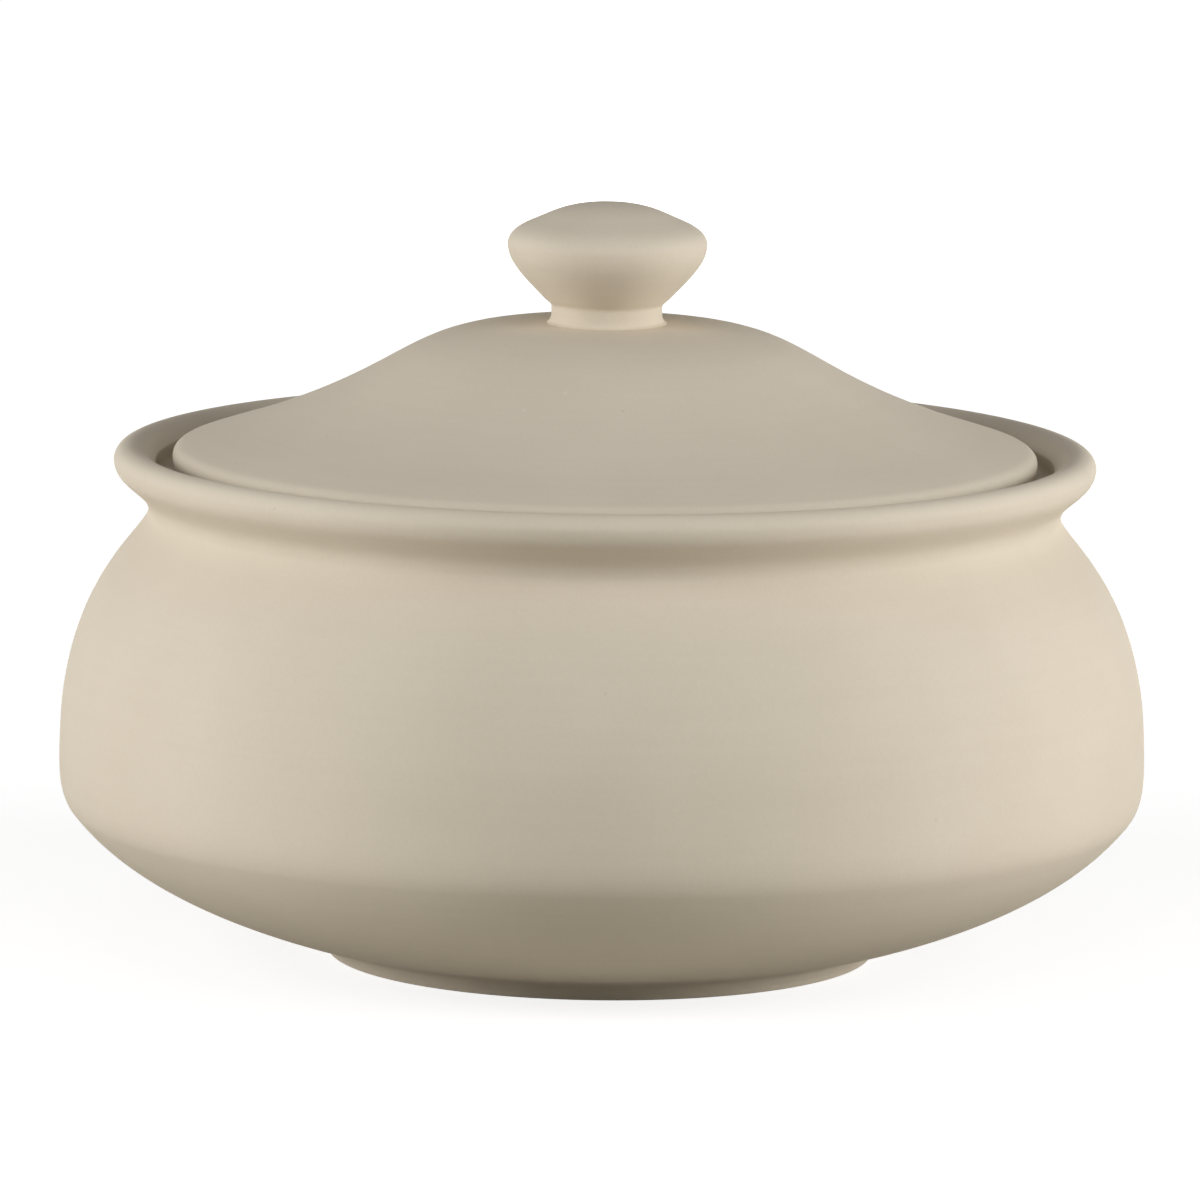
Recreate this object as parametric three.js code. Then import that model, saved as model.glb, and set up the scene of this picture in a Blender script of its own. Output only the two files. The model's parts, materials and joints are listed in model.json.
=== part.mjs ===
// A lidded serving bowl in unglazed earthenware. Millimetres, +Z up, standing on Z = 0.
// Three fired pieces, each turned about Z: the bowl, the lid that drops into the gallery
// inside the bowl's rim, and the hollow knob stuck to the crown of the lid.

import * as THREE from 'three';

// Bowl wall. A RUN is how far a curve keeps the direction that it has at one of its ends.
const BELLY_R = 125; // widest outer radius
const BELLY_Z = 47.5; // height of the widest line
const BELLY_RUN_UNDER = 5;
const BELLY_RUN_OVER = 39.6;
const KNEE_INSET = 2.7; // the turn into the underside, in from the widest line
const KNEE_DROP = 13.7; // and below it
const KNEE_DEG = 52; // slope of the wall there
const KNEE_RUN_UNDER = 16.9;
const KNEE_RUN_OVER = 4.7;
const UNDERSIDE_DEG = 14.5; // slope of the underside where it leaves the foot
const UNDERSIDE_RUN = 27.9;
const WALL = 6.5;

// Foot ring and floor
const FOOT_R = 63; // outer radius on the table
const FOOT_WIDTH = 7;
const FOOT_HEIGHT = 4; // table to the corner under the bowl
const FOOT_FLARE = 2.8; // how much wider the ring is at that corner
const FOOT_RECESS = 2.5; // table to the base inside the ring
const FLOOR = 6.5; // thickness of the base
const FLOOR_BLEND = 3.5; // rise of the soft turn from floor to wall
const FLOOR_RUN = 8;

// Mouth: a ledge round the bore carries the lid, a low wall stands round the ledge, then the rim
const MOUTH_R = 91; // bore of the ledge
const SEAT_WIDTH = 12.2; // bore to the wall round the ledge
const SEAT_DEPTH = 8.2; // top of the rim to the ledge
const SEAT_FILLET = 2;
const LEDGE = 4.5; // thickness of the ledge at its bore
const LEDGE_RUN = 3;
const GALLERY_WALL = 2.3; // upright part of the wall round the ledge
const SILL_DEG = 48; // slope of the rim where it turns down into that wall
const SILL_RUN = 1.5;
const NECK_STEP = 1.6; // outside of the neck, out from the wall round the ledge
const NECK_RUN_UNDER = 6.1;
const NECK_RUN_OVER = 5;
const SHOULDER_HEIGHT = 55.1; // widest line to the neck
const RIM_HEIGHT = 15; // neck to the top of the rim
const RIM_WIDTH = 9.6; // wall round the ledge to the outermost edge of the rim
const RIM_ROUND_R = 3.8; // round of the outer edge, across
const RIM_ROUND_Z = 3.5; // and down
const RIM_RUN_UNDER = 4.8;
const RIM_RUN_IN = 3;

// Lid
const LID_PLAY = 3.9; // edge of the lid to the wall round the ledge
const LID_EDGE = 5.4; // seat to the widest line of the edge
const LID_EDGE_ROUND = 3.5; // round under the edge, across
const LID_EDGE_RUN = 1.8;
const SKIRT_INSET = 2.8; // where the edge becomes the top face, in from the widest line
const SKIRT_RISE = 8.6; // and above the seat
const SKIRT_DEG = 16.5; // slope of the top face there
const SKIRT_RUN = 58.5;
const LID_RISE = 36.9; // seat to crown
const CROWN_RUN = 37.7;
const LID_WALL = 6;
const FLANGE_PLAY = 1.5; // locating flange to the bore of the ledge
const FLANGE_WALL = 4.5;
const FLANGE_DEPTH = 6; // below the seat
const FLANGE_FILLET = 3;
const FLANGE_RUN = 1.5;
const VENT_R = 2; // hole in the crown that lets the hollow knob breathe in the kiln

// Knob
const KNOB_R = 22.9;
const KNOB_HEIGHT = 27.7; // crown to top
const KNOB_WIDEST = 18; // crown to the widest line
const KNOB_RUN_UNDER = 5;
const KNOB_RUN_OVER = 2.5;
const COLLAR_R = 12.7;
const COLLAR_LAND = 0.1; // edge of the cove of slip round the foot of the collar
const COVE_WIDTH = 1.1;
const COVE_RISE = 2.1;
const COLLAR_RISE = 1.5; // cove to where the collar opens into the head
const HEAD_DEG = 53; // slope of the head where it leaves the collar
const HEAD_RUN = 5;
const BROW_INSET = 5.9; // where the edge of the head becomes its top, in from the widest line
const BROW_DROP = 4.1; // and down from the top
const BROW_DEG = 22; // slope of the top there
const BROW_RUN = 4;
const TOP_RUN = 9.8;
const COLLAR_WALL = 5.5;
const HOLLOW_R = 11.5; // the clay scooped out of the head, open through the collar
const HOLLOW_COVER = 7; // thickness left over it
const HOLLOW_RUN = 5;

// Small edges, and the fineness of the facets
const EDGE = 1;
const BODY_SEGMENTS = 52;
const KNOB_SEGMENTS = 36;
const QUARTER_ROUND = 0.5523; // run of a quarter circle as a share of its radius
const JOIN = 1e-6; // points nearer than this are one point
const CLAY = 0xd9cdb8;

// Places worked out from the sizes
const footBore = FOOT_R - FOOT_WIDTH;
const floorZ = FOOT_RECESS + FLOOR;
const galleryR = MOUTH_R + SEAT_WIDTH;
const neckR = galleryR + NECK_STEP;
const neckZ = BELLY_Z + SHOULDER_HEIGHT;
const rimR = galleryR + RIM_WIDTH;
const rimZ = neckZ + RIM_HEIGHT;
const seatZ = rimZ - SEAT_DEPTH;
const lidR = galleryR - LID_PLAY;
const flangeR = MOUTH_R - FLANGE_PLAY;
const flangeBore = flangeR - FLANGE_WALL;
const flangeZ = seatZ - FLANGE_DEPTH;
const crownZ = seatZ + LID_RISE;
const knobFootR = COLLAR_R + COVE_WIDTH;
const coveZ = crownZ + COLLAR_LAND;
const collarZ = coveZ + COVE_RISE;
const knobTopZ = crownZ + KNOB_HEIGHT;

const UP = new THREE.Vector2(0, 1);
const DOWN = new THREE.Vector2(0, -1);
const OUT = new THREE.Vector2(1, 0);
const IN = new THREE.Vector2(-1, 0);

// A point of a profile: radius from the axis, height above the table.
function at(r, z) {
  return new THREE.Vector2(r, z);
}

function heading(degrees) {
  const angle = THREE.MathUtils.degToRad(degrees);
  return at(Math.cos(angle), Math.sin(angle));
}

// A curve from one point to another that leaves along one direction and arrives along another.
function bend(from, leaving, leavingRun, to, arriving, arrivingRun, steps) {
  const first = from.clone().addScaledVector(leaving, leavingRun);
  const second = to.clone().addScaledVector(arriving, -arrivingRun);
  return new THREE.CubicBezierCurve(from, first, second, to).getPoints(steps);
}

// A quarter round that leaves one point upright and arrives level.
function uprightToLevel(from, to, steps) {
  const rise = (to.y - from.y) * QUARTER_ROUND;
  const reach = (to.x - from.x) * QUARTER_ROUND;
  return bend(from, UP, rise, to, OUT, reach, steps);
}

function levelToUpright(from, to, steps) {
  return uprightToLevel(to, from, steps).reverse();
}

// The same line moved square to itself by the thickness of the wall, to the left of its direction.
function inset(line, wall) {
  return line.map((point, i) => {
    const before = line[Math.max(i - 1, 0)];
    const after = line[Math.min(i + 1, line.length - 1)];
    const along = after.clone().sub(before).normalize();
    return at(point.x - along.y * wall, point.y + along.x * wall);
  });
}

// The direction in which a line sets out.
function start(line) {
  return line[1].clone().sub(line[0]).normalize();
}

// A piece turned about Z from a profile that runs anticlockwise round its section.
function turned(name, profile, segments) {
  const points = profile.filter((p, i) => i === 0 || p.distanceTo(profile[i - 1]) > JOIN);
  const geometry = new THREE.LatheGeometry(points, segments).rotateX(Math.PI / 2);
  const clay = new THREE.MeshStandardMaterial({ color: CLAY, roughness: 0.92, metalness: 0 });
  const mesh = new THREE.Mesh(geometry, clay);
  mesh.name = name;
  return mesh;
}

function bowl() {
  const corner = at(FOOT_R + FOOT_FLARE, FOOT_HEIGHT);
  const knee = at(BELLY_R - KNEE_INSET, BELLY_Z - KNEE_DROP);
  const belly = at(BELLY_R, BELLY_Z);
  const neck = at(neckR, neckZ);
  const edge = at(rimR, rimZ - RIM_ROUND_Z);
  const crest = at(rimR - RIM_ROUND_R, rimZ);
  const sill = at(galleryR, seatZ + SEAT_FILLET + GALLERY_WALL);
  const turn = heading(KNEE_DEG);

  // Outside of the wall from the foot to the neck, then over the rim
  const wall = [
    ...bend(corner, heading(UNDERSIDE_DEG), UNDERSIDE_RUN, knee, turn, KNEE_RUN_UNDER, 6),
    ...bend(knee, turn, KNEE_RUN_OVER, belly, UP, BELLY_RUN_UNDER, 4).slice(1),
    ...bend(belly, UP, BELLY_RUN_OVER, neck, UP, NECK_RUN_UNDER, 9).slice(1),
  ];
  const rim = [
    ...bend(neck, UP, NECK_RUN_OVER, edge, UP, RIM_RUN_UNDER, 5),
    ...uprightToLevel(edge, crest, 3),
    ...bend(crest, IN, RIM_RUN_IN, sill, heading(180 + SILL_DEG), SILL_RUN, 4),
  ];

  // Ledge, then the inside of the wall and the floor
  const inside = inset(wall, WALL).filter((p) => p.y > floorZ + FLOOR_BLEND);
  const underLedge = inside[inside.length - 1];
  const ledge = [
    ...uprightToLevel(at(galleryR, seatZ + SEAT_FILLET), at(galleryR - SEAT_FILLET, seatZ), 3),
    ...levelToUpright(at(MOUTH_R + EDGE, seatZ), at(MOUTH_R, seatZ - EDGE), 2),
    ...bend(at(MOUTH_R, seatZ - LEDGE), OUT, LEDGE_RUN, underLedge, DOWN, LEDGE_RUN, 3),
  ];
  const floor = bend(at(footBore, floorZ), OUT, FLOOR_RUN, inside[0], start(inside), FLOOR_RUN, 3);

  const profile = [
    at(0, FOOT_RECESS),
    at(footBore, FOOT_RECESS),
    ...uprightToLevel(at(footBore, EDGE), at(footBore + EDGE, 0), 2),
    ...levelToUpright(at(FOOT_R - EDGE, 0), at(FOOT_R, EDGE), 2),
    ...wall,
    ...rim,
    ...ledge,
    ...inside.reverse(),
    ...floor.reverse(),
    at(0, floorZ),
  ];
  return turned('bowl', profile, BODY_SEGMENTS);
}

function lid() {
  const widest = at(lidR, seatZ + LID_EDGE);
  const skirt = at(lidR - SKIRT_INSET, seatZ + SKIRT_RISE);
  const crown = at(knobFootR, crownZ);
  const climb = heading(180 - SKIRT_DEG);

  const edge = [
    ...levelToUpright(at(lidR - LID_EDGE_ROUND, seatZ), widest, 3),
    ...bend(widest, UP, LID_EDGE_RUN, skirt, climb, LID_EDGE_RUN, 3),
  ];
  const top = bend(skirt, climb, SKIRT_RUN, crown, IN, CROWN_RUN, 10);

  // Underside of the dome, kept inside the flange, and the soft corner between the two
  const dome = inset(top, LID_WALL).filter((p) => p.x < flangeBore - FLANGE_FILLET);
  const root = at(flangeBore, dome[0].y - FLANGE_FILLET);
  const corner = bend(root, UP, FLANGE_RUN, dome[0], start(dome), FLANGE_RUN, 3);
  const flange = [
    ...uprightToLevel(at(flangeBore, flangeZ + EDGE), at(flangeBore + EDGE, flangeZ), 2),
    ...levelToUpright(at(flangeR - EDGE, flangeZ), at(flangeR, flangeZ + EDGE), 2),
    ...uprightToLevel(at(flangeR, seatZ - EDGE), at(flangeR + EDGE, seatZ), 2),
  ];

  const profile = [
    at(VENT_R, crownZ),
    at(VENT_R, crownZ - LID_WALL),
    ...dome.reverse(),
    ...corner.reverse(),
    ...flange,
    ...edge,
    ...top,
    at(VENT_R, crownZ),
  ];
  return turned('lid', profile, BODY_SEGMENTS);
}

function knob() {
  const throat = at(COLLAR_R, collarZ + COLLAR_RISE);
  const widest = at(KNOB_R, crownZ + KNOB_WIDEST);
  const brow = at(KNOB_R - BROW_INSET, knobTopZ - BROW_DROP);
  const climb = heading(180 - BROW_DEG);

  const cove = levelToUpright(at(knobFootR, coveZ), at(COLLAR_R, collarZ), 3);
  const head = [
    ...bend(throat, heading(HEAD_DEG), HEAD_RUN, widest, UP, KNOB_RUN_UNDER, 6),
    ...bend(widest, UP, KNOB_RUN_OVER, brow, climb, BROW_RUN, 5),
    ...bend(brow, climb, BROW_RUN, at(0, knobTopZ), IN, TOP_RUN, 6),
  ];

  // Hollow scooped out of the head, open through the collar
  const bore = at(COLLAR_R - COLLAR_WALL, collarZ);
  const hollowTop = at(0, knobTopZ - HOLLOW_COVER);
  const hollowEdge = at(HOLLOW_R, hollowTop.y - HOLLOW_RUN);
  const hollow = [
    ...bend(hollowTop, OUT, HOLLOW_RUN, hollowEdge, DOWN, HOLLOW_RUN / 2, 4),
    ...bend(hollowEdge, DOWN, HOLLOW_RUN / 2, bore, DOWN, HOLLOW_RUN, 4),
  ];

  const profile = [...hollow, at(bore.x, crownZ), at(knobFootR, crownZ), ...cove, ...head];
  return turned('knob', profile, KNOB_SEGMENTS);
}

const part = new THREE.Group();
part.name = 'lidded_bowl';
part.add(bowl(), lid(), knob());

export default part;
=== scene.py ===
"""Looks of the lidded serving bowl: each CAD piece turned again, finely, in matte bisque clay."""

import json
import math

import bpy
import numpy as np
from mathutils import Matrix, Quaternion, Vector


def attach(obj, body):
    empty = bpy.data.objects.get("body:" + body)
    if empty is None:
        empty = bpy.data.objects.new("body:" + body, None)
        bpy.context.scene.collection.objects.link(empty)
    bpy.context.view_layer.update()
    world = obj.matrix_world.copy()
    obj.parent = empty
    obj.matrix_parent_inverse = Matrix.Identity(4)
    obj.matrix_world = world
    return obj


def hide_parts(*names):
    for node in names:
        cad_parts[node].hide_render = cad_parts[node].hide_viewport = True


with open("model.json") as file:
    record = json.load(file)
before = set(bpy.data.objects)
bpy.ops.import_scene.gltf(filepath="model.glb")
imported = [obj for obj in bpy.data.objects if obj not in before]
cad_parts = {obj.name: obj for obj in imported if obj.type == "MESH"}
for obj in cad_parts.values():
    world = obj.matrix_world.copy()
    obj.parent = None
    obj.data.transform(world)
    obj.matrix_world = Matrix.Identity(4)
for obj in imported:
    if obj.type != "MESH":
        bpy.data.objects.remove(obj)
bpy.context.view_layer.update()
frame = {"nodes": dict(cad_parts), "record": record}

# Fineness of the turned surfaces
MERGE = 1e-6  # metres: nearer points are one point
MERGE_DECIMALS = 6  # decimals that tell two points apart
SHARP_TURN = math.radians(50)  # a profile that turns more than this at a point has a corner there
STEP = 0.002  # longest step along a profile
STEP_TURN = math.radians(6)  # largest turn in a step
ROUND_SEGMENTS = {"bowl": 288, "lid": 288, "knob": 144}

# Camera, found by fitting the ellipses of foot, rim, lid and knob in the photograph
IMAGE_PX = 1200
FOCAL_PX = 10860
SENSOR_MM = 36
AIM_HEIGHT = 0.0819
AIM_DISTANCE = 2.5
ELEVATION = math.radians(8.7)
ROLL = math.radians(0.649)
AXIS_PX = 603.5  # column of the bowl's axis on the image's middle row

# Clay: linear colours of the fired body, of its iron specks and of its pale grit
CLAY_DARK = (0.661, 0.585, 0.472, 1)
CLAY_PALE = (0.731, 0.655, 0.538, 1)
SPECK = (0.36, 0.29, 0.21, 1)
GRIT = (0.80, 0.74, 0.64, 1)

# Patterns in the clay: scale per metre and octaves of detail
MOTTLE_NOISE = (26, 4)
GRAIN_NOISE = (1300, 2)
RING_NOISE = (420, 2)
RING_DRIFT = 0.032  # how much the pattern of the rings changes per metre across the bowl
PATTERN_SHIFT = (0.31, 0.17, 0)  # metres from one piece's patterns to the next one's

# Dots in the clay: cells per metre, size as a share of a cell, share of the cells that have one
SPECK_DOTS = (150, 0.07, 0.10)
GRIT_DOTS = (110, 0.06, 0.12)

# How the patterns show
MOTTLE_SHARE, GRAIN_SHARE, RING_SHARE = 0.5, 0.3, 0.15  # in the tone of the clay
TONE_DARK, TONE_PALE = 0.22, 0.73  # tones that get the dark and the pale colour
SPECK_COVER, GRIT_COVER = 0.25, 0.5
SPECK_DEPTH = 2.0  # against a height of 1 for grain, rings and grits
BUMP_STRENGTH = 0.35
BUMP_HEIGHT = 0.00005
GRAIN_SMOOTH, GRAIN_ROUGH = 0.3, 0.7  # grain between which the roughness changes
ROUGHNESS_LOW, ROUGHNESS_HIGH = 0.84, 0.96
SPECULAR = 0.2

# Lamps: place, width and height in metres, and watts; each is turned to face one point in the bowl
LAMP_AIM = (0, 0, 0.08)
LAMPS = {
    "left": ((-1.26, -0.34, 0.35), (0.5, 0.5), 9.3),
    "right": ((1.26, -0.34, 0.35), (0.5, 0.5), 11.4),
    "front_left": ((-1.0, -0.8, 0.7), (0.6, 0.6), 3.9),
    "front_right": ((1.0, -0.8, 0.7), (0.6, 0.6), 2.6),
    "front_top": ((0, -0.9, 1.1), (1.2, 1.0), 3.1),
    "top": ((0, 0, 1.4), (1.2, 1.2), 0.95),
    "back": ((0, 1.6, 0.05), (1.6, 0.1), 6.0),
    "under": ((0, 0, -1.2), (0.6, 0.6), 6.0),
}

# Room: strength of its even light, and of the white that is seen behind the bowl
WHITE = (1, 1, 1, 1)
ROOM_LIGHT = 0.01
ROOM_SHOWN = 1.0

# Floor
FLOOR_REACH = 12.0
FLOOR_SEGMENTS = 288
FLOOR_BOUNCE = (0.57, 0.55, 0.50, 1)  # share of light that it throws back on the bowl
FLOOR_SHOWN = (0.4, 0.4, 0.4, 1)  # share that shows the bowl's shadow to the camera
GLOW_NEAR, GLOW_FAR = 0.8, 1.0  # white added to that, at the bowl and away from it
GLOW_FROM, GLOW_TO = 0.2, 1.0  # metres from the axis between which it changes


def meridian(node):
    """The profile of a turned CAD node as (radius, height) points in order, and whether it is a ring."""
    mesh = frame["nodes"][node].data
    place = {}
    for vertex in mesh.vertices:
        x, y, z = vertex.co
        if abs(x) < MERGE and y < MERGE:
            place[vertex.index] = (abs(round(y, MERGE_DECIMALS)), round(z, MERGE_DECIMALS))
    near = {}
    for edge in mesh.edges:
        a, b = (place.get(i) for i in edge.vertices)
        if a and b and a != b:
            near.setdefault(a, set()).add(b)
            near.setdefault(b, set()).add(a)
    ends = sorted((p for p in near if len(near[p]) == 1), key=lambda p: p[1])
    line = [ends[0] if ends else max(near)]
    while True:
        ahead = [p for p in near[line[-1]] if p not in line]
        if not ahead:
            break
        line.append(ahead[0])
    line = np.array(line)
    if not ends:
        r, z = line.T
        if np.sum(r * np.roll(z, -1) - np.roll(r, -1) * z) < 0:
            line = line[::-1]
    return line, not ends


def unit(v):
    return v / np.linalg.norm(v)


def turn_between(a, b):
    """The angle between two directions of length 1."""
    return math.acos(np.clip(a @ b, -1, 1))


def is_flat(step):
    """Whether a step of a profile runs straight across or straight up."""
    return min(abs(step)) < MERGE


def headings(before, after):
    """The directions in which a profile arrives at a point and leaves it, from the steps on both sides."""
    if before is None or after is None:
        only = after if before is None else before
        across = np.array([math.copysign(1, only[0]), 0])
        return across, across
    if turn_between(unit(before), unit(after)) > SHARP_TURN:
        return unit(before), unit(after)
    if is_flat(before):
        along = unit(before)
    elif is_flat(after):
        along = unit(after)
    else:
        along = unit(before + after)
    return along, along


def bend(start, leave, end, arrive, t):
    """The point at share t of a curve between two points, from its runs at both."""
    return (
        start * (1 + 2 * t) * (1 - t) ** 2
        + leave * t * (1 - t) ** 2
        + end * t * t * (3 - 2 * t)
        + arrive * t * t * (t - 1)
    )


def smoothed(line, ring):
    """The same profile with its curves filled in; corners and flat runs stay as they are."""
    count = len(line)
    steps = [line[(i + 1) % count] - line[i] for i in range(count if ring else count - 1)]
    arriving, leaving = [], []
    for i in range(count):
        before = steps[i - 1] if ring or i > 0 else None
        after = steps[i] if i < len(steps) else None
        arrive, leave = headings(before, after)
        arriving.append(arrive)
        leaving.append(leave)
    fine = []
    for i, step in enumerate(steps):
        end = (i + 1) % count
        length = np.linalg.norm(step)
        turn = turn_between(leaving[i], arriving[end])
        pieces = max(1, math.ceil(length / STEP), math.ceil(turn / STEP_TURN))
        for t in np.arange(pieces) / pieces:
            fine.append(bend(line[i], leaving[i] * length, line[end], arriving[end] * length, t))
    if not ring:
        fine.append(line[-1])
    return np.clip(fine, line.min(axis=0), line.max(axis=0))


def turned(name, line, ring, segments):
    """A smooth mesh turned about Z from a profile."""
    angles = np.arange(segments) * 2 * math.pi / segments
    points, rows = [], []
    for r, z in line:
        if r < MERGE:
            rows.append([len(points)] * segments)
            points.append((0.0, 0.0, z))
        else:
            rows.append(range(len(points), len(points) + segments))
            points.extend((r * math.sin(a), -r * math.cos(a), z) for a in angles)
    faces = []
    for i in range(len(rows) if ring else len(rows) - 1):
        low, high = rows[i], rows[(i + 1) % len(rows)]
        for k in range(segments):
            m = (k + 1) % segments
            corners = [low[k], low[m], high[m], high[k]]
            faces.append(list(dict.fromkeys(corners)))
    mesh = bpy.data.meshes.new(name)
    mesh.from_pydata(points, [], faces)
    mesh.update()
    mesh.polygons.foreach_set("use_smooth", [True] * len(mesh.polygons))
    mesh.set_sharp_from_angle(angle=SHARP_TURN)
    piece = bpy.data.objects.new(name, mesh)
    bpy.context.scene.collection.objects.link(piece)
    return piece


class Graph:
    """Short ways to add and join the nodes of a material or of the world."""

    def __init__(self, owner):
        owner.use_nodes = True
        self.nodes = owner.node_tree.nodes
        self.links = owner.node_tree.links

    def add(self, kind, settings=None, **inputs):
        """A node with its inputs given by name, where an underscore stands for a space."""
        node = self.nodes.new("ShaderNode" + kind)
        for key, value in (settings or {}).items():
            setattr(node, key, value)
        for key, value in inputs.items():
            self.give(node, key.replace("_", " "), value)
        return node

    def give(self, node, key, value):
        """An input, by name or number, gets a constant or the link from another node."""
        socket = node.inputs[key]
        if isinstance(value, bpy.types.NodeSocket):
            self.links.new(value, socket)
        else:
            socket.default_value = value

    def join(self, kind, *values, **settings):
        """The first output of a node whose inputs are given in their order."""
        node = self.add(kind, settings)
        for key, value in enumerate(values):
            self.give(node, key, value)
        return node.outputs[0]

    def math(self, operation, first, second):
        return self.join("Math", first, second, operation=operation)

    def length(self, vector):
        node = self.add("VectorMath", {"operation": "LENGTH"})
        self.give(node, 0, vector)
        return node.outputs["Value"]

    def noise(self, vector, scale, detail):
        return self.add("TexNoise", Vector=vector, Scale=scale, Detail=detail).outputs["Fac"]

    def spread(self, value, low, high, to_low=0.0, to_high=1.0):
        """A value between two limits, spread to lie between two others."""
        node = self.add("MapRange", Value=value, From_Min=low, From_Max=high, To_Min=to_low, To_Max=to_high)
        return node.outputs["Result"]

    def mix(self, share, first, second):
        """Two colours mixed; the node's inputs 6 and 7 and its output 2 are the ones for colours."""
        node = self.add("Mix", {"data_type": "RGBA"})
        self.give(node, 0, share)
        self.give(node, 6, first)
        self.give(node, 7, second)
        return node.outputs[2]

    def dots(self, vector, cells, size, kept):
        """Round dots, one in each of a share of the cells, with soft edges; size is a share of a cell."""
        cell = self.add("TexVoronoi", Vector=vector, Scale=cells)
        draw = self.add("SeparateColor", Color=cell.outputs["Color"]).outputs["Red"]
        dot = self.spread(cell.outputs["Distance"], size, size / 2)
        return self.math("MULTIPLY", dot, self.math("LESS_THAN", draw, kept))


def ring_place(graph, spot):
    """A place told by its radius and height, nearly the same all the way round and with no seam."""
    x, y, z = graph.add("SeparateXYZ", Vector=spot).outputs
    radius = graph.length(graph.add("CombineXYZ", X=x, Y=y).outputs[0])
    drift = graph.math("MULTIPLY", x, RING_DRIFT)
    return graph.add("CombineXYZ", X=radius, Y=z, Z=drift).outputs[0]


def bisque(name, seed):
    """Unglazed earthenware: soft mottling, faint wheel rings, fine grain, a few specks and grits."""
    material = bpy.data.materials.new(name)
    graph = Graph(material)
    spot = graph.add("TexCoord").outputs["Object"]
    shift = [seed * along for along in PATTERN_SHIFT]
    place = graph.join("VectorMath", spot, shift, operation="ADD")
    mottle = graph.noise(place, *MOTTLE_NOISE)
    grain = graph.noise(place, *GRAIN_NOISE)
    rings = graph.noise(ring_place(graph, spot), *RING_NOISE)
    specks = graph.dots(place, *SPECK_DOTS)
    grits = graph.dots(place, *GRIT_DOTS)

    tone = graph.math("MULTIPLY", mottle, MOTTLE_SHARE)
    tone = graph.math("ADD", tone, graph.math("MULTIPLY", grain, GRAIN_SHARE))
    tone = graph.math("ADD", tone, graph.math("MULTIPLY", rings, RING_SHARE))
    colour = graph.mix(graph.spread(tone, TONE_DARK, TONE_PALE), CLAY_DARK, CLAY_PALE)
    colour = graph.mix(graph.math("MULTIPLY", specks, SPECK_COVER), colour, SPECK)
    colour = graph.mix(graph.math("MULTIPLY", grits, GRIT_COVER), colour, GRIT)

    height = graph.math("ADD", grain, rings)
    height = graph.math("SUBTRACT", height, graph.math("MULTIPLY", specks, SPECK_DEPTH))
    height = graph.math("ADD", height, grits)
    bump = graph.add("Bump", Strength=BUMP_STRENGTH, Distance=BUMP_HEIGHT, Height=height)

    roughness = graph.spread(grain, GRAIN_SMOOTH, GRAIN_ROUGH, ROUGHNESS_LOW, ROUGHNESS_HIGH)
    shader = graph.nodes["Principled BSDF"]
    graph.give(shader, "Base Color", colour)
    graph.give(shader, "Roughness", roughness)
    graph.give(shader, "Specular IOR Level", SPECULAR)
    graph.give(shader, "Normal", bump.outputs[0])
    return material


def dress():
    """Every CAD node gets a fine turned piece in its place, on the same body."""
    bodies = frame["record"]["behaviour"]["bodies"]
    riders = [(node, body) for body, nodes in bodies.items() for node in nodes]
    for seed, (node, body) in enumerate(riders):
        line, ring = meridian(node)
        piece = turned(node + "_turned", smoothed(line, ring), ring, ROUND_SEGMENTS[node])
        piece.data.materials.append(bisque("bisque_" + node, seed))
        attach(piece, body)
        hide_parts(node)


def camera():
    """The photograph's camera, set beside the axis and rolled as the fit found it."""
    data = bpy.data.cameras.new("camera")
    data.sensor_width = SENSOR_MM
    data.lens = SENSOR_MM * FOCAL_PX / IMAGE_PX
    eye = bpy.data.objects.new("camera", data)
    bpy.context.scene.collection.objects.link(eye)
    back = Vector((0, -math.cos(ELEVATION), math.sin(ELEVATION)))
    aside = (IMAGE_PX / 2 - AXIS_PX) / FOCAL_PX * AIM_DISTANCE
    eye.location = Vector((aside, 0, AIM_HEIGHT)) + back * AIM_DISTANCE
    eye.rotation_mode = "QUATERNION"
    eye.rotation_quaternion = (-back).to_track_quat("-Z", "Y") @ Quaternion((0, 0, 1), ROLL)
    bpy.context.scene.camera = eye


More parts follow.
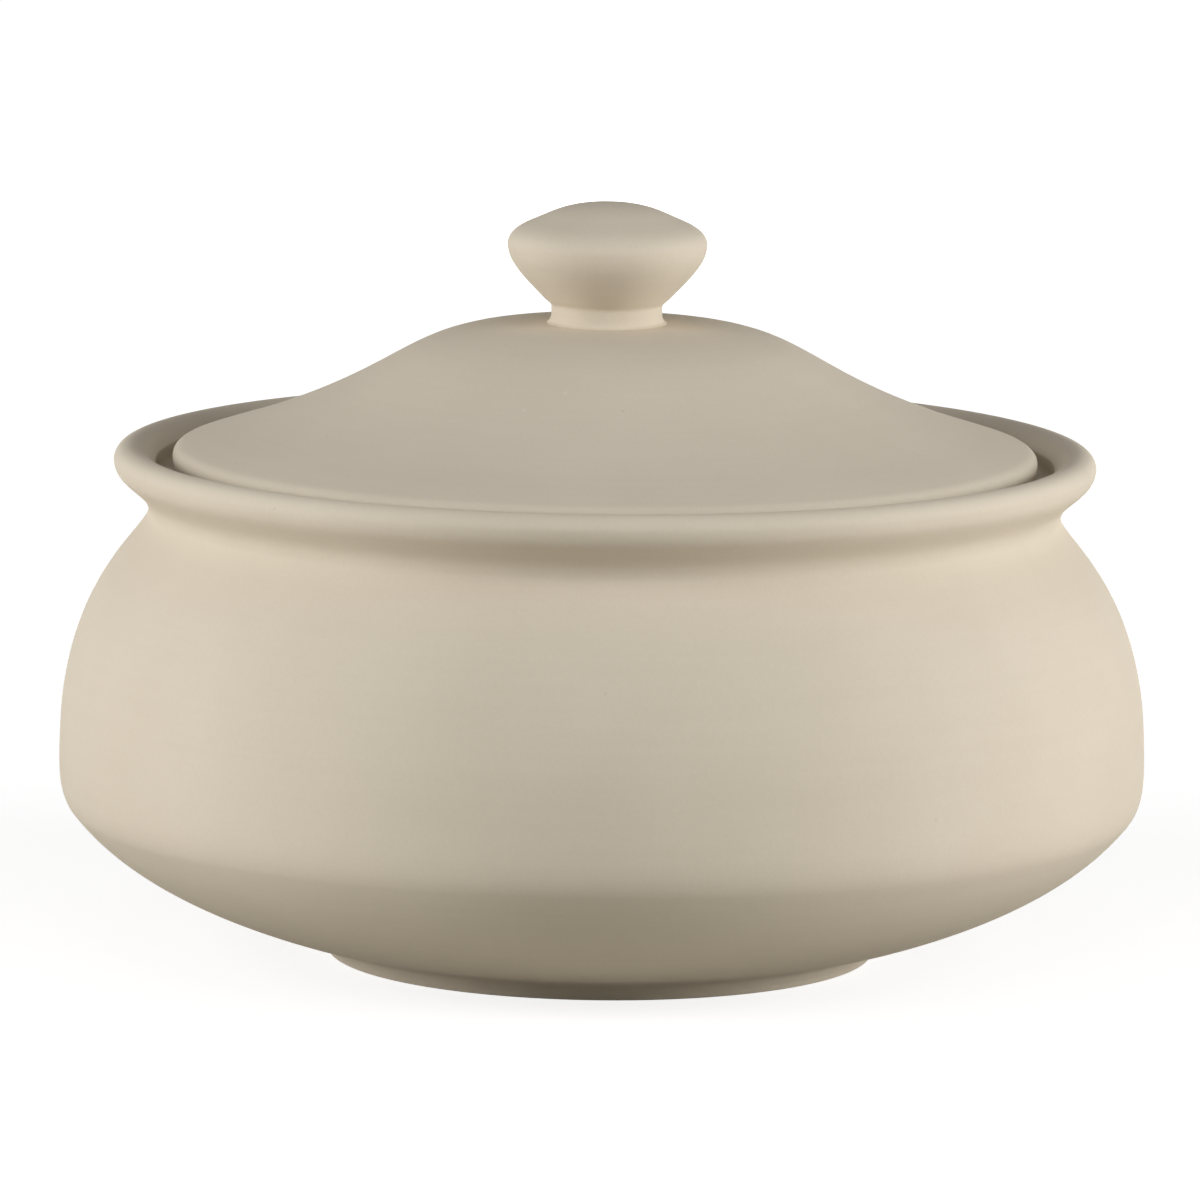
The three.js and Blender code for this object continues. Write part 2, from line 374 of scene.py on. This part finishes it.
def softbox(name, place, size, watts):
    """A rectangular lamp that the camera doesn't see."""
    data = bpy.data.lights.new(name, "AREA")
    data.shape = "RECTANGLE"
    data.size, data.size_y = size
    data.energy = watts
    lamp = bpy.data.objects.new(name, data)
    bpy.context.scene.collection.objects.link(lamp)
    lamp.location = place
    lamp.rotation_mode = "QUATERNION"
    lamp.rotation_quaternion = (Vector(LAMP_AIM) - Vector(place)).to_track_quat("-Z", "Y")
    lamp.visible_camera = False


def seen_rays(graph):
    """1 for rays that show the surroundings in the picture, 0 for rays that only light the bowl."""
    path = graph.add("LightPath")
    seen = graph.math("MAXIMUM", path.outputs["Is Camera Ray"], path.outputs["Is Glossy Ray"])
    return graph.math("MAXIMUM", seen, path.outputs["Is Transmission Ray"])


def floor():
    """White to the camera with a soft shadow, a plain pale table to the light, clear from below.

    It is open inside the foot ring, so that the lamp under it lights the bowl's base and nothing else.
    """
    line, _ = meridian("bowl")
    standing = line[line[:, 1] < MERGE][:, 0].max()
    ground = turned("floor", [(FLOOR_REACH, 0), (standing, 0)], False, FLOOR_SEGMENTS)

    material = bpy.data.materials.new("floor")
    graph = Graph(material)
    graph.nodes.clear()
    away = graph.length(graph.add("TexCoord").outputs["Object"])
    glow = graph.add("Emission", Strength=graph.spread(away, GLOW_FROM, GLOW_TO, GLOW_NEAR, GLOW_FAR))
    shadowed = graph.add("BsdfDiffuse", Color=FLOOR_SHOWN)
    shown = graph.join("AddShader", shadowed.outputs[0], glow.outputs[0])
    table = graph.add("BsdfDiffuse", Color=FLOOR_BOUNCE)
    above = graph.join("MixShader", seen_rays(graph), table.outputs[0], shown)
    below = graph.add("NewGeometry").outputs["Backfacing"]
    either = graph.join("MixShader", below, above, graph.add("BsdfTransparent").outputs[0])
    graph.add("OutputMaterial", Surface=either)
    ground.data.materials.append(material)


def room():
    """White where it is seen, and a little even light."""
    world = bpy.data.worlds.new("room")
    bpy.context.scene.world = world
    graph = Graph(world)
    graph.nodes.clear()
    light = graph.add("Background", Color=WHITE, Strength=ROOM_LIGHT)
    white = graph.add("Background", Color=WHITE, Strength=ROOM_SHOWN)
    either = graph.join("MixShader", seen_rays(graph), light.outputs[0], white.outputs[0])
    graph.add("OutputWorld", Surface=either)


camera()
dress()
floor()
room()
for name, (place, size, watts) in LAMPS.items():
    softbox(name, place, size, watts)
bpy.context.scene.view_settings.view_transform = "Standard"
